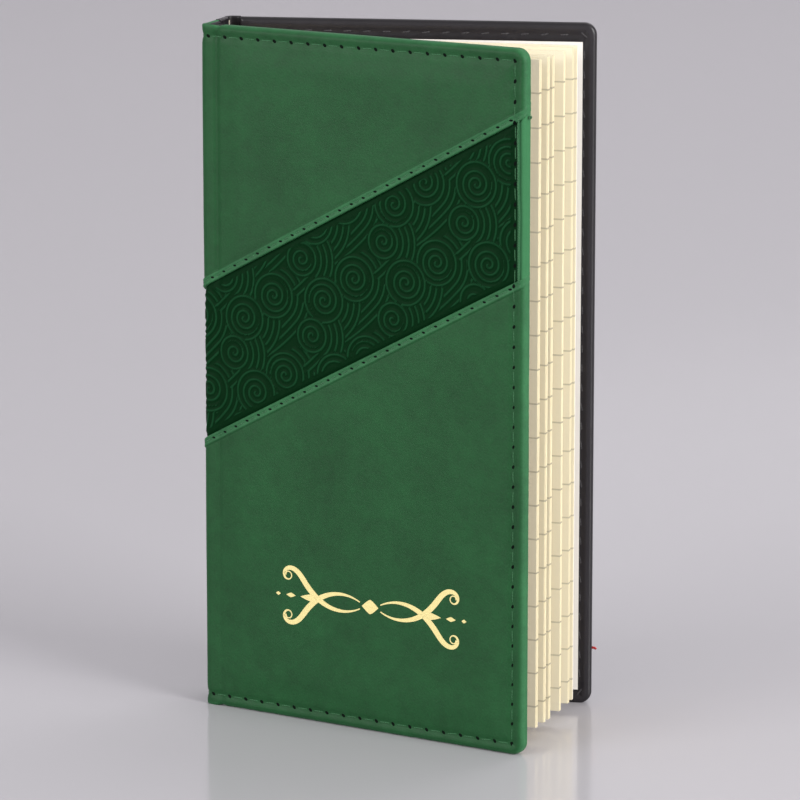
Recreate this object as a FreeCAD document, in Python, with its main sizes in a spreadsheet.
"""A pocket notebook in a soft stitched case, standing on its tail edge and slightly open.

Frame: +Z is up the spine, +X runs from the spine to the fore-edge along the middle of the
opening, -Y is the front cover's side.  The origin is under the middle of the case.
Each cover is drawn closed, in a frame whose Z axis is its hinge line, and then turned open.
"""
import FreeCAD, Part
import math
import os
import Sketcher

Vector = FreeCAD.Vector

FRONT = -1
BACK = 1
SIDE_NAMES = {FRONT: "front", BACK: "back"}

DRIVING_SIZES = [
    ("cover_height", 152.0, "case, tail to head"),
    ("cover_reach", 82.0, "closed case, outside of spine to fore-edge"),
    ("spine_width", 16.0, "closed case, outside of front cover to outside of back cover"),
    ("cover_thick", 3.0, "padded cover"),
    ("skin_thick", 0.7, "outer leatherette, turned over the edges"),
    ("foam_thick", 0.8, "padding on the board"),
    ("lining_thick", 0.3, "black lining on the inside"),
    ("stiffener_thick", 0.8, "strip inside the spine"),
    ("corner_radius", 2.0, "rounding of the spine's long edges, about each hinge line"),
    ("groove_offset", 3.9, "closed case, outside of spine to where the board starts"),
    ("strip_gap", 0.1, "hinge strip to cover"),
    ("rest_opening", 12.0, "each cover, degrees open from closed"),
    ("fore_corner", 2.8, "rounding of the cover's fore-edge corners"),
    ("edge_round", 1.2, "rounding of the cover's outer edges"),
    ("lining_inset", 0.25, "edge of the lining to the edge of the cover"),
    ("band_top", 90.3, "upper seam's height at the middle of the spine"),
    ("band_bottom", 56.6, "lower seam's height at the middle of the spine"),
    ("band_slope", 0.534, "rise of both seams for each millimetre toward the front fore-edge"),
    ("band_recess", 0.3, "band below the panels' surface"),
    ("edge_stitch_inset", 2.5, "edge stitching to the edge"),
    ("edge_stitch_pitch", 4.35, "one edge stitch to the next"),
    ("seam_stitch_inset", 0.9, "seam stitching to the seam"),
    ("seam_stitch_pitch", 3.85, "one seam stitch to the next"),
    ("stitch_fill", 0.66, "thread's share of the pitch"),
    ("thread_radius", 0.22, "outer thread"),
    ("inner_thread_radius", 0.15, "thread on the lining"),
    ("float_inset", 0.75, "long loose stitch to the front fore-edge"),
    ("endpaper_border", 4.0, "lining that shows above the endpaper and beside the spine"),
    ("endpaper_fore", 2.8, "lining that shows at the fore-edge"),
    ("endpaper_tail", 3.1, "lining that shows below the endpaper"),
    ("endpaper_thick", 0.15, "sheet pasted on the lining"),
    ("leaf_height", 145.0, "pages"),
    ("fore_margin", 2.0, "closed case, pages to the cover's fore-edge"),
    ("fold_offset", 3.2, "outside of spine to the line that each section turns on"),
    ("page_clearance", 0.24, "between sections, and between pages and endpapers"),
    ("fold_radius", 0.38, "outside of a section's pressed fold"),
    ("fold_flare", 5.0, "from the fold to a section's full thickness"),
    ("centre_gap", 0.1, "between the two halves of a section"),
    ("sewing_radius", 0.12, "sewing thread"),
    ("sewing_channel", 0.2, "round space for the thread inside a fold"),
    ("mull_thick", 0.2, "cloth strip behind the sections"),
    ("glue_thick", 0.15, "glue on the cloth strip"),
    ("back_strip_half", 4.6, "half the width of the cloth strip"),
    ("red_thread_height", 12.4, "loose red thread end, above the tail edge"),
    ("red_thread_length", 1.0, "how far the red thread end sticks out"),
    ("red_thread_radius", 0.18, "loose red thread end"),
    ("knot_radius", 0.35, "knot on the front fore-edge"),
]

# How far each section is turned toward the front cover at rest, in degrees.
SECTION_FAN = [6.7, 4.5, 3.6, -0.6, -4.4, -5.6]

DERIVED_SIZES = [
    ("flat_half", "=spine_width / 2 - corner_radius", "half the flat width of the spine"),
    ("board_start", "=groove_offset - corner_radius", "hinge line to the board"),
    ("board_reach", "=cover_reach - corner_radius", "hinge line to the fore-edge"),
    ("inner_face", "=corner_radius - cover_thick", "lining's surface, outward from the hinge line"),
    ("board_thick", "=cover_thick - skin_thick - foam_thick - lining_thick", "board"),
    ("spine_thick", "=skin_thick + stiffener_thick", "spine without its lining"),
    ("seam_angle", "=atan(band_slope)", "slope of the seams, as an angle"),
    ("bend_length", "=corner_radius * (90 - rest_opening) * pi / 180", "round a spine edge at rest"),
    ("seam_origin", "=flat_half + bend_length", "middle of the spine to a hinge line, on the skin"),
    ("row_pitch",
     f"=(spine_width - 2 * cover_thick - 2 * endpaper_thick - page_clearance) / {len(SECTION_FAN)}",
     "one section to the next"),
    ("section_thick", "=row_pitch - page_clearance", "one section"),
    ("leaf_width", "=cover_reach - fore_margin - fold_offset", "fold line to the fore-edge of a leaf"),
    ("leaf_base", "=(cover_height - leaf_height) / 2", "tail of the pages above the tail of the case"),
    ("case_depth",
     "=corner_radius + board_reach * cos(rest_opening) - (inner_face + lining_thick) * sin(rest_opening)",
     "open case, spine to the furthest point of the fore-edges"),
    ("cutter_half", "=cover_height + cover_reach", "half of a cutting block, past the whole case"),
    ("hinge_x", "=corner_radius - case_depth / 2", "hinge lines in the part's frame"),
    ("spine_x", "=-case_depth / 2", "outside of the spine in the part's frame"),
]

# Each long stitch inside a section's fold: where it starts and ends, above the tail of the pages.
STITCH_STATIONS = [(12.0, 38.0), (42.0, 70.0), (75.0, 103.0), (107.0, 133.0)]

doc = FreeCAD.newDocument("pocket_notebook")
nodes = []


# ---------------------------------------------------------------- sizes
def fill_sheet():
    """Write the driving sizes as plain numbers and the sizes that follow from them."""
    sheet = doc.addObject("Spreadsheet::Sheet", "Sizes")
    fan = [(f"fan_{number}", angle, f"section {number}, degrees toward the front cover")
           for number, angle in enumerate(SECTION_FAN, 1)]
    rows = [(alias, str(value), note) for alias, value, note in DRIVING_SIZES + fan]
    for row, (alias, content, note) in enumerate(rows + DERIVED_SIZES, 1):
        sheet.set(f"A{row}", note)
        sheet.set(f"B{row}", content)
        sheet.setAlias(f"B{row}", alias)
    doc.recompute()
    return sheet


sheet = fill_sheet()


def size(alias):
    """The value of one named size, as a plain number."""
    value = getattr(sheet, alias)
    return float(getattr(value, "Value", value))


def expand(text):
    """Put the sheet's name before each alias of a formula."""
    for alias in sorted(sheet_aliases, key=len, reverse=True):
        text = text.replace("$" + alias, "Sizes." + alias)
    return text


sheet_aliases = [row[0] for row in DRIVING_SIZES + DERIVED_SIZES]
sheet_aliases += [f"fan_{number}" for number in range(1, len(SECTION_FAN) + 1)]


def bind(thing, **formulas):
    """Bind properties of an object to formulas; a double underscore stands for a dot."""
    for name, formula in formulas.items():
        thing.setExpression(name.replace("__", "."), expand(str(formula)))


def place(thing, x=0, y=0, z=0, angle=0):
    """Bind where an object stands and how far it is turned about the vertical."""
    bind(thing, Placement__Base__x=x, Placement__Base__y=y, Placement__Base__z=z)
    bind(thing, Placement__Rotation__Angle=angle)


def keep(thing, name):
    """Name a finished piece, which is also its file's name."""
    thing.Label = name
    nodes.append(thing)
    return thing


# ---------------------------------------------------------------- shapes
def block(name, length, width, height, x=0, y=0, z=0):
    thing = doc.addObject("Part::Box", name)
    bind(thing, Length=length, Width=width, Height=height)
    place(thing, x, y, z)
    return thing


def boolean(kind, name, base, tool):
    thing = doc.addObject("Part::" + kind, name)
    thing.Base = base
    thing.Tool = tool
    return thing


def rounded(name, base, chooser, radius_alias, allowance=0.0):
    """Round the edges that the chooser picks."""
    doc.recompute()
    thing = doc.addObject("Part::Fillet", name)
    thing.Base = base
    radius = size(radius_alias) - allowance
    chosen = [index for index, edge in enumerate(base.Shape.Edges, 1) if chooser(edge)]
    thing.Edges = [(index, radius, radius) for index in chosen]
    return thing


def fore_corner_edge(edge):
    """True for the short edges across the cover's thickness at its fore-edge."""
    box = edge.BoundBox
    across = box.YLength > box.XLength + box.ZLength
    return across and box.Center.x > size("board_reach") / 2


def outer_edge_chooser(side):
    """Picks the edges round the cover's outer face, except the one at the hinge."""
    def choose(edge):
        box = edge.BoundBox
        on_face = abs(side * box.Center.y - size("corner_radius")) < 1e-6 and box.YLength < 1e-6
        return on_face and box.XMax > size("board_start") + 1e-3
    return choose


def cover_plate(name, side, outer, thick, inset, start):
    """A plate of the cover, its outer surface a given distance outward from the hinge line."""
    low = f"-({outer})" if side == FRONT else f"{outer} - ({thick})"
    plain = block(name + "_plain", f"$board_reach - ({inset}) - ({start})", thick,
                  f"$cover_height - 2 * ({inset})", start, low, inset)
    allowance = float(sheet_value(inset))
    return rounded(name, plain, fore_corner_edge, "fore_corner", allowance)


def sheet_value(formula):
    """Work out a short formula that names one size or none."""
    formula = str(formula)
    if formula.startswith("$"):
        return size(formula[1:])
    return float(formula)


def above_seam_on_cover(side, seam):
    """A block whose lower face is the seam's plane, drawn in the closed cover's frame."""
    rise = -side
    thing = block(f"{SIDE_NAMES[side]}_above_{seam}", "2 * $cutter_half", "4 * $cover_thick",
                  "2 * $cutter_half")
    thing.Placement.Rotation = FreeCAD.Rotation(Vector(0, 1, 0), 0)
    bind(thing, Placement__Rotation__Angle=f"{-rise} * $seam_angle")
    bind(thing, Placement__Base__x="-1 * $cutter_half * cos($seam_angle)",
         Placement__Base__y="-2 * $cover_thick",
         Placement__Base__z=f"$band_{seam} + {rise} * ($band_slope * $seam_origin"
                            " - $cutter_half * sin($seam_angle))")
    return thing


def above_seam_on_spine(seam):
    """The same plane where the band crosses the spine."""
    thing = block(f"spine_above_{seam}", "4 * $cover_thick", "2 * $cutter_half", "2 * $cutter_half")
    thing.Placement.Rotation = FreeCAD.Rotation(Vector(1, 0, 0), 0)
    bind(thing, Placement__Rotation__Angle="-1 * $seam_angle")
    bind(thing, Placement__Base__x="-2 * $cover_thick",
         Placement__Base__y="-1 * $cutter_half * cos($seam_angle)",
         Placement__Base__z=f"$band_{seam} + $cutter_half * sin($seam_angle)")
    return thing


def split_skin(prefix, shell, recessed, above_top, above_bottom, put):
    """Cut a skin into the upper panel, the sunk band and the lower panel."""
    upper = boolean("Common", prefix + "_upper", shell, above_top)
    band_up = boolean("Common", prefix + "_band_up", recessed, above_bottom)
    band = boolean("Cut", prefix + "_middle", band_up, above_top)
    lower = boolean("Cut", prefix + "_lower", shell, above_bottom)
    for piece, name in ((upper, "upper_panel"), (band, "band"), (lower, "lower_panel")):
        put(piece)
        keep(piece, f"{prefix}_{name}")


def half_round(start, end, radius, outward):
    """A stitch: half a round bar lying flat on a surface."""
    along = end - start
    bar = Part.makeCylinder(radius, along.Length, Vector(0, 0, 0), Vector(0, 0, 1), 180)
    turn = FreeCAD.Rotation(Vector(0, 0, 0), outward, along, "ZYX")
    bar.Placement = FreeCAD.Placement(start, turn)
    return bar


def stitch_run(start, end, pitch, radius, outward):
    """Stitches evenly spaced from one end of a run to the other."""
    run = end - start
    count = max(1, int(run.Length / pitch))
    step = run / count
    margin = (1 - size("stitch_fill")) / 2
    return [half_round(start + step * (k + margin), start + step * (k + 1 - margin), radius, outward)
            for k in range(count)]


def stitched_piece(name, stitches, placement):
    thing = doc.addObject("Part::Feature", name + "_shape")
    thing.Shape = Part.makeCompound(stitches)
    thing.Placement = placement
    return keep(thing, name)


def rest_placement(side):
    """Where a closed cover's frame stands when the cover is open as far as it rests."""
    base = Vector(size("hinge_x"), side * size("flat_half"), 0)
    return FreeCAD.Placement(base, FreeCAD.Rotation(Vector(0, 0, 1), side * size("rest_opening")))


def put_cover_piece(side):
    def put(piece):
        place(piece, "$hinge_x", f"{side} * $flat_half", 0, f"{side} * $rest_opening")
    return put


# ---------------------------------------------------------------- covers
def make_cover_skin(side):
    """Outer leatherette: a shallow tray over padding and board, in three pieces."""
    name = SIDE_NAMES[side]
    outline = cover_plate(name + "_outline", side, "$corner_radius", "$cover_thick - $lining_thick",
                          0, "$board_start")
    outline = rounded(name + "_outline_soft", outline, outer_edge_chooser(side), "edge_round")
    hollow = cover_plate(name + "_hollow", side, "$corner_radius - $skin_thick",
                         "$cover_thick - $skin_thick", "$skin_thick", "$board_start - $skin_thick")
    shell = boolean("Cut", name + "_shell", outline, hollow)
    low = "-1 * $corner_radius + $band_recess" if side == FRONT else "-2 * $cover_thick"
    inner_layer = block(name + "_inner_layer", "$cover_reach",
                        "$corner_radius + 2 * $cover_thick - $band_recess", "$cover_height", 0, low)
    recessed = boolean("Common", name + "_recessed", shell, inner_layer)
    split_skin(name, shell, recessed, above_seam_on_cover(side, "top"),
               above_seam_on_cover(side, "bottom"), put_cover_piece(side))


def make_cover_filling(side):
    """Padding, board, lining and endpaper, from the outside in."""
    name = SIDE_NAMES[side]
    put = put_cover_piece(side)
    filling_start = "$board_start + $lining_thick"
    foam = cover_plate(name + "_foam_plate", side, "$corner_radius - $skin_thick", "$foam_thick",
                       "$skin_thick", filling_start)
    put(foam)
    keep(foam, name + "_foam_pad")
    board = cover_plate(name + "_board_plate", side, "$corner_radius - $skin_thick - $foam_thick",
                        "$board_thick", "$skin_thick", filling_start)
    put(board)
    keep(board, name + "_board")

    sheet_part = cover_plate(name + "_lining_sheet", side, "$inner_face + $lining_thick", "$lining_thick",
                             "$lining_inset", "$board_start")
    flap_height = "$corner_radius - $skin_thick - $inner_face - $lining_thick"
    flap_low = "-1 * $corner_radius + $skin_thick" if side == FRONT else "$inner_face + $lining_thick"
    flap = block(name + "_lining_flap", "$lining_thick", flap_height,
                 "$cover_height - 2 * $skin_thick", "$board_start", flap_low, "$skin_thick")
    lining = boolean("Fuse", name + "_lining_whole", sheet_part, flap)
    put(lining)
    keep(lining, name + "_lining")

    paper_low = "(-1 * $inner_face)" if side == FRONT else "($inner_face - $endpaper_thick)"
    paper_start = "($board_start + $endpaper_border)"
    turn = f"({side} * $rest_opening)"
    paper = block(name + "_paper", "$board_reach - $board_start - $endpaper_border - $endpaper_fore",
                  "$endpaper_thick", "$cover_height - $endpaper_border - $endpaper_tail")
    place(paper, f"$hinge_x + {paper_start} * cos({turn}) - {paper_low} * sin({turn})",
          f"{side} * $flat_half + {paper_start} * sin({turn}) + {paper_low} * cos({turn})",
          "$endpaper_tail", turn)
    keep(paper, name + "_endpaper")


def seam_height(side, along, seam):
    """Height of a seam on a cover, at a distance from its hinge line."""
    return size("band_" + seam) - side * size("band_slope") * (size("seam_origin") + along)


def make_cover_stitching(side):
    """Thread along the edges, along the two seams, and where it shows on the lining."""
    name = SIDE_NAMES[side]
    placement = rest_placement(side)
    outward = Vector(0, side, 0)
    near = size("board_start")
    far = size("board_reach") - size("edge_stitch_inset")
    low = size("edge_stitch_inset")
    high = size("cover_height") - size("edge_stitch_inset")
    edge_runs = [((near, high), (far, high)), ((far, high), (far, low)), ((far, low), (near, low))]

    def runs_at(y, pitch_alias, radius_alias, normal, runs):
        stitches = []
        for (x1, z1), (x2, z2) in runs:
            stitches += stitch_run(Vector(x1, y, z1), Vector(x2, y, z2),
                                   size(pitch_alias), size(radius_alias), normal)
        return stitches

    outer_y = side * size("corner_radius")
    inner_y = side * size("inner_face")
    stitched_piece(name + "_edge_stitching",
                   runs_at(outer_y, "edge_stitch_pitch", "thread_radius", outward, edge_runs), placement)
    stitched_piece(name + "_lining_stitching",
                   runs_at(inner_y, "edge_stitch_pitch", "inner_thread_radius", outward * -1, edge_runs),
                   placement)

    offset = size("seam_stitch_inset") / math.cos(math.atan(size("band_slope")))
    end = far - 2 * size("thread_radius")
    seam_runs = [((near, seam_height(side, near, seam) + step), (end, seam_height(side, end, seam) + step))
                 for seam, step in (("top", offset), ("bottom", -offset))]
    stitched_piece(name + "_band_stitching",
                   runs_at(outer_y, "seam_stitch_pitch", "thread_radius", outward, seam_runs), placement)


def make_loose_threads():
    """The long loose stitch and the knot on the front fore-edge, and the red end at the back."""
    radius = size("thread_radius")
    along = size("board_reach") - size("float_inset")
    outward = size("corner_radius") + radius / 2
    top = seam_height(FRONT, along, "top")
    bottom = seam_height(FRONT, along, "bottom")
    loose = doc.addObject("Part::Feature", "loose_stitch")
    loose.Shape = Part.makeCylinder(radius, top - bottom, Vector(along, -outward, bottom))
    loose.Placement = rest_placement(FRONT)
    keep(loose, "front_float_thread")

    knot = doc.addObject("Part::Sphere", "knot_ball")
    bind(knot, Radius="$knot_radius")
    doc.recompute()
    reach = size("board_reach") + size("knot_radius")
    height = seam_height(FRONT, size("board_reach"), "top")
    middle = (size("corner_radius") + size("inner_face")) / 2
    knot.Placement = rest_placement(FRONT).multiply(
        FreeCAD.Placement(Vector(reach, FRONT * middle, height), FreeCAD.Rotation()))
    keep(knot, "front_thread_knot")

    red = doc.addObject("Part::Cylinder", "red_end")
    bind(red, Radius="$red_thread_radius", Height="$red_thread_length")
    turned = FreeCAD.Rotation(Vector(0, 1, 0), 90)
    spot = Vector(size("board_reach"), BACK * middle, size("red_thread_height"))
    red.Placement = rest_placement(BACK).multiply(FreeCAD.Placement(spot, turned))
    keep(red, "red_thread_end")


# ---------------------------------------------------------------- spine
def make_spine():
    """The strip that the two covers hinge on."""
    shell_block = block("spine_block", "$spine_thick", "2 * $flat_half", "$cover_height", 0, "-$flat_half")
    hollow = block("spine_hollow", "$stiffener_thick", "2 * $flat_half", "$cover_height - 2 * $skin_thick",
                   "$skin_thick", "-$flat_half", "$skin_thick")
    shell = boolean("Cut", "spine_shell", shell_block, hollow)
    inner_layer = block("spine_inner_layer", "$spine_thick", "2 * $flat_half", "$cover_height",
                        "$band_recess", "-$flat_half")
    recessed = boolean("Common", "spine_recessed", shell, inner_layer)

    def put(piece):
        place(piece, "$spine_x")

    split_skin("spine", shell, recessed, above_seam_on_spine("top"), above_seam_on_spine("bottom"), put)

    stiffener = block("stiffener", "$stiffener_thick", "2 * $flat_half", "$cover_height - 2 * $skin_thick",
                      "$spine_x + $skin_thick", "-$flat_half", "$skin_thick")
    keep(stiffener, "spine_stiffener")
    lining = block("lining", "$lining_thick", "2 * $flat_half", "$cover_height - 2 * $lining_inset",
                   "$spine_x + $spine_thick", "-$flat_half", "$lining_inset")
    keep(lining, "spine_lining")


def make_spine_stitching():
    """Edge and seam stitches where they cross the spine."""
    outward = Vector(-1, 0, 0)
    half = size("flat_half")
    low = size("edge_stitch_inset")
    high = size("cover_height") - low
    offset = size("seam_stitch_inset") / math.cos(math.atan(size("band_slope")))
    stitches = []
    for height in (low, high):
        stitches += stitch_run(Vector(0, -half, height), Vector(0, half, height),
                               size("edge_stitch_pitch"), size("thread_radius"), outward)
    for seam, step in (("top", offset), ("bottom", -offset)):
        middle = size("band_" + seam) + step
        drop = size("band_slope") * half
        stitches += stitch_run(Vector(0, -half, middle + drop), Vector(0, half, middle - drop),
                               size("seam_stitch_pitch"), size("thread_radius"), outward)
    stitched_piece("spine_stitching", stitches, FreeCAD.Placement(Vector(size("spine_x"), 0, 0),
                                                                  FreeCAD.Rotation()))


def make_hinge_strip(name, side, outer, thick):
    """A flexible strip round one long edge of the spine, concentric with the hinge line."""
    start_angle = "180" if side == FRONT else "90 + $rest_opening"
    rounds = []
    for label, radius in (("outside", outer), ("inside", f"{outer} - {thick}")):
        drum = doc.addObject("Part::Cylinder", f"{name}_{label}")
        bind(drum, Radius=radius, Height="$cover_height", Angle="90 - $rest_opening")
        place(drum, 0, 0, 0, start_angle)
        rounds.append(drum)
    bend = boolean("Cut", name + "_bend", rounds[0], rounds[1])
    tab = block(name + "_tab", "$board_start - $strip_gap", thick, "$cover_height")
    low = f"-({outer})" if side == FRONT else f"{outer} - {thick}"
    place(tab, f"-1 * {side} * ({low}) * sin($rest_opening)", f"({low}) * cos($rest_opening)", 0,
          f"{side} * $rest_opening")
    strip = boolean("Fuse", name + "_strip", bend, tab)
    place(strip, "$hinge_x", f"{side} * $flat_half")
    keep(strip, name)


def make_back_of_pages():
    """Cloth strip, glue and the sewing that links the sections, behind their folds."""
    mull_x = "$spine_x + $spine_thick + $lining_thick + $page_clearance"
    mull = block("mull_strip", "$mull_thick", "2 * $back_strip_half", "$leaf_height - 2 * $fold_flare",
                 mull_x, "-$back_strip_half", "$leaf_base + $fold_flare")
    keep(mull, "mull_cloth")
    glue = block("glue_strip", "$glue_thick", "2 * $back_strip_half", "$leaf_height - 2 * $fold_flare",
                 mull_x + " + $mull_thick", "-$back_strip_half", "$leaf_base + $fold_flare")
    keep(glue, "spine_glue")

    back_x = size("spine_x") + size("spine_thick") + size("lining_thick") + size("page_clearance")
    back_x += size("mull_thick") + size("glue_thick")
    links = []
    for start, end in STITCH_STATIONS:
        for height in (start, end):
            position = Vector(back_x + size("sewing_radius"), -size("back_strip_half"),
                              size("leaf_base") + height)
            links.append(Part.makeCylinder(size("sewing_radius"), 2 * size("back_strip_half"),
                                           position, Vector(0, 1, 0)))
    stitched_piece("section_link_sewing", links, FreeCAD.Placement())


# ---------------------------------------------------------------- sections
def fold_sketch(body, name):
    """Outline of a folded section: a round pressed fold with two halves and a thread channel."""
    sketch = body.newObject("Sketcher::SketchObject", name)
    plane = [feature for feature in body.Origin.OriginFeatures if feature.Role == "XY_Plane"][0]
    sketch.AttachmentSupport = [(plane, "")]
    sketch.MapMode = "FlatFace"
    fold = size("fold_radius")
    channel = size("sewing_channel")
    half = size("section_thick") / 2
    gap = size("centre_gap") / 2
    flare = size("fold_flare")
    width = size("leaf_width")
    mouth = math.sqrt(channel ** 2 - gap ** 2)
    mouth_angle = math.atan2(gap, mouth)
    axis = Vector(0, 0, 1)
    origin = Vector(0, 0, 0)

    def line(x1, y1, x2, y2):
        return sketch.addGeometry(Part.LineSegment(Vector(x1, y1, 0), Vector(x2, y2, 0)), False)

    outer = sketch.addGeometry(
        Part.ArcOfCircle(Part.Circle(origin, axis, fold), math.pi / 2, 3 * math.pi / 2), False)
    low_flare = line(0, -fold, flare, -half)
    low_face = line(flare, -half, width, -half)
    low_end = line(width, -half, width, -gap)
    low_inside = line(width, -gap, mouth, -gap)
    inner = sketch.addGeometry(
        Part.ArcOfCircle(Part.Circle(origin, axis, channel), mouth_angle, 2 * math.pi - mouth_angle), False)
    high_inside = line(mouth, gap, width, gap)
    high_end = line(width, gap, width, half)
    high_face = line(width, half, flare, half)
    high_flare = line(flare, half, 0, fold)

    def add(*parts):
        return sketch.addConstraint(Sketcher.Constraint(*parts))

    start, end, middle = 1, 2, 3
    root, x_axis, y_axis = -1, -1, -2
    joins = [(outer, end, low_flare, start), (low_flare, end, low_face, start),
             (low_face, end, low_end, start), (low_end, end, low_inside, start),
             (low_inside, end, inner, end), (inner, start, high_inside, start),
             (high_inside, end, high_end, start), (high_end, end, high_face, start),
             (high_face, end, high_flare, start), (high_flare, end, outer, start)]
    for join in joins:
        add("Coincident", *join)
    add("Coincident", outer, middle, root, start)
    add("Coincident", inner, middle, root, start)
    add("PointOnObject", outer, start, y_axis)
    add("PointOnObject", outer, end, y_axis)
    for flat in (low_face, low_inside, high_inside, high_face):
        add("Horizontal", flat)
    for upright in (low_end, high_end):
        add("Vertical", upright)
    add("Symmetric", low_flare, end, high_flare, start, x_axis)
    add("Symmetric", low_end, end, high_inside, end, x_axis)
    named = {
        "fold_radius": add("Radius", outer, fold),
        "sewing_channel": add("Radius", inner, channel),
        "fold_flare": add("DistanceX", root, start, high_flare, start, flare),
        "leaf_width": add("DistanceX", root, start, high_inside, end, width),
        "section_thick": add("DistanceY", low_flare, end, high_flare, start, 2 * half),
        "centre_gap": add("DistanceY", low_end, end, high_inside, end, 2 * gap),
    }
    for alias, index in named.items():
        sketch.setExpression(f"Constraints[{index}]", f"Sizes.{alias}")
    return sketch


def make_section(number):
    """One sewn gathering of folded leaves, which turns on its own fold."""
    name = f"section_{number}"
    row = number - (len(SECTION_FAN) + 1) / 2
    fold_x = "$spine_x + $fold_offset"
    body = doc.addObject("PartDesign::Body", name + "_body")
    sketch = fold_sketch(body, name + "_outline")
    pad = body.newObject("PartDesign::Pad", name + "_pad")
    pad.Profile = sketch
    bind(pad, Length="$leaf_height")
    place(body, fold_x, f"{row} * $row_pitch", "$leaf_base", f"-1 * $fan_{number}")
    keep(body, name + "_leaves")

    threads = []
    for start, end in STITCH_STATIONS:
        stitch = doc.addObject("Part::Cylinder", f"{name}_stitch")
        bind(stitch, Radius="$sewing_radius", Height=end - start)
        place(stitch, 0, 0, start)
        threads.append(stitch)
    sewing = doc.addObject("Part::Compound", name + "_stitches")
    sewing.Links = threads
    place(sewing, fold_x, f"{row} * $row_pitch", "$leaf_base", f"-1 * $fan_{number}")
    keep(sewing, name + "_sewing")


# ---------------------------------------------------------------- build, check and write
def check_document():
    """Stop if any object failed or any piece isn't a sound solid."""
    for thing in doc.Objects:
        if "Invalid" in thing.State or "Error" in thing.State:
            raise RuntimeError(f"{thing.Name} failed: {thing.State}")
    names = [thing.Label for thing in nodes]
    if len(set(names)) != len(names):
        raise RuntimeError("two pieces share a name")
    for thing in nodes:
        if thing.Shape.isNull() or not thing.Shape.isValid() or not thing.Shape.Solids:
            raise RuntimeError(f"{thing.Label} isn't a sound solid")


def write_parts():
    os.makedirs("parts", exist_ok=True)
    for thing in nodes:
        thing.Shape.exportStep(f"parts/{thing.Label}.step")
        box = thing.Shape.BoundBox
        print(f"{thing.Label:26s} solids {len(thing.Shape.Solids):3d} volume {thing.Shape.Volume:9.2f}"
              f"  x {box.XMin:7.2f} {box.XMax:7.2f}  y {box.YMin:7.2f} {box.YMax:7.2f}"
              f"  z {box.ZMin:7.2f} {box.ZMax:7.2f}")
    print(len(nodes), "pieces")


make_spine()
make_spine_stitching()
for hinge_side in (FRONT, BACK):
    make_hinge_strip(SIDE_NAMES[hinge_side] + "_hinge_skin", hinge_side, "$corner_radius", "$skin_thick")
    make_hinge_strip(SIDE_NAMES[hinge_side] + "_hinge_lining", hinge_side,
                     "($corner_radius - $skin_thick)", "$lining_thick")
    make_cover_skin(hinge_side)
    make_cover_filling(hinge_side)
    make_cover_stitching(hinge_side)
make_loose_threads()
make_back_of_pages()
for section_number in range(1, len(SECTION_FAN) + 1):
    make_section(section_number)
doc.recompute()
check_document()
write_parts()
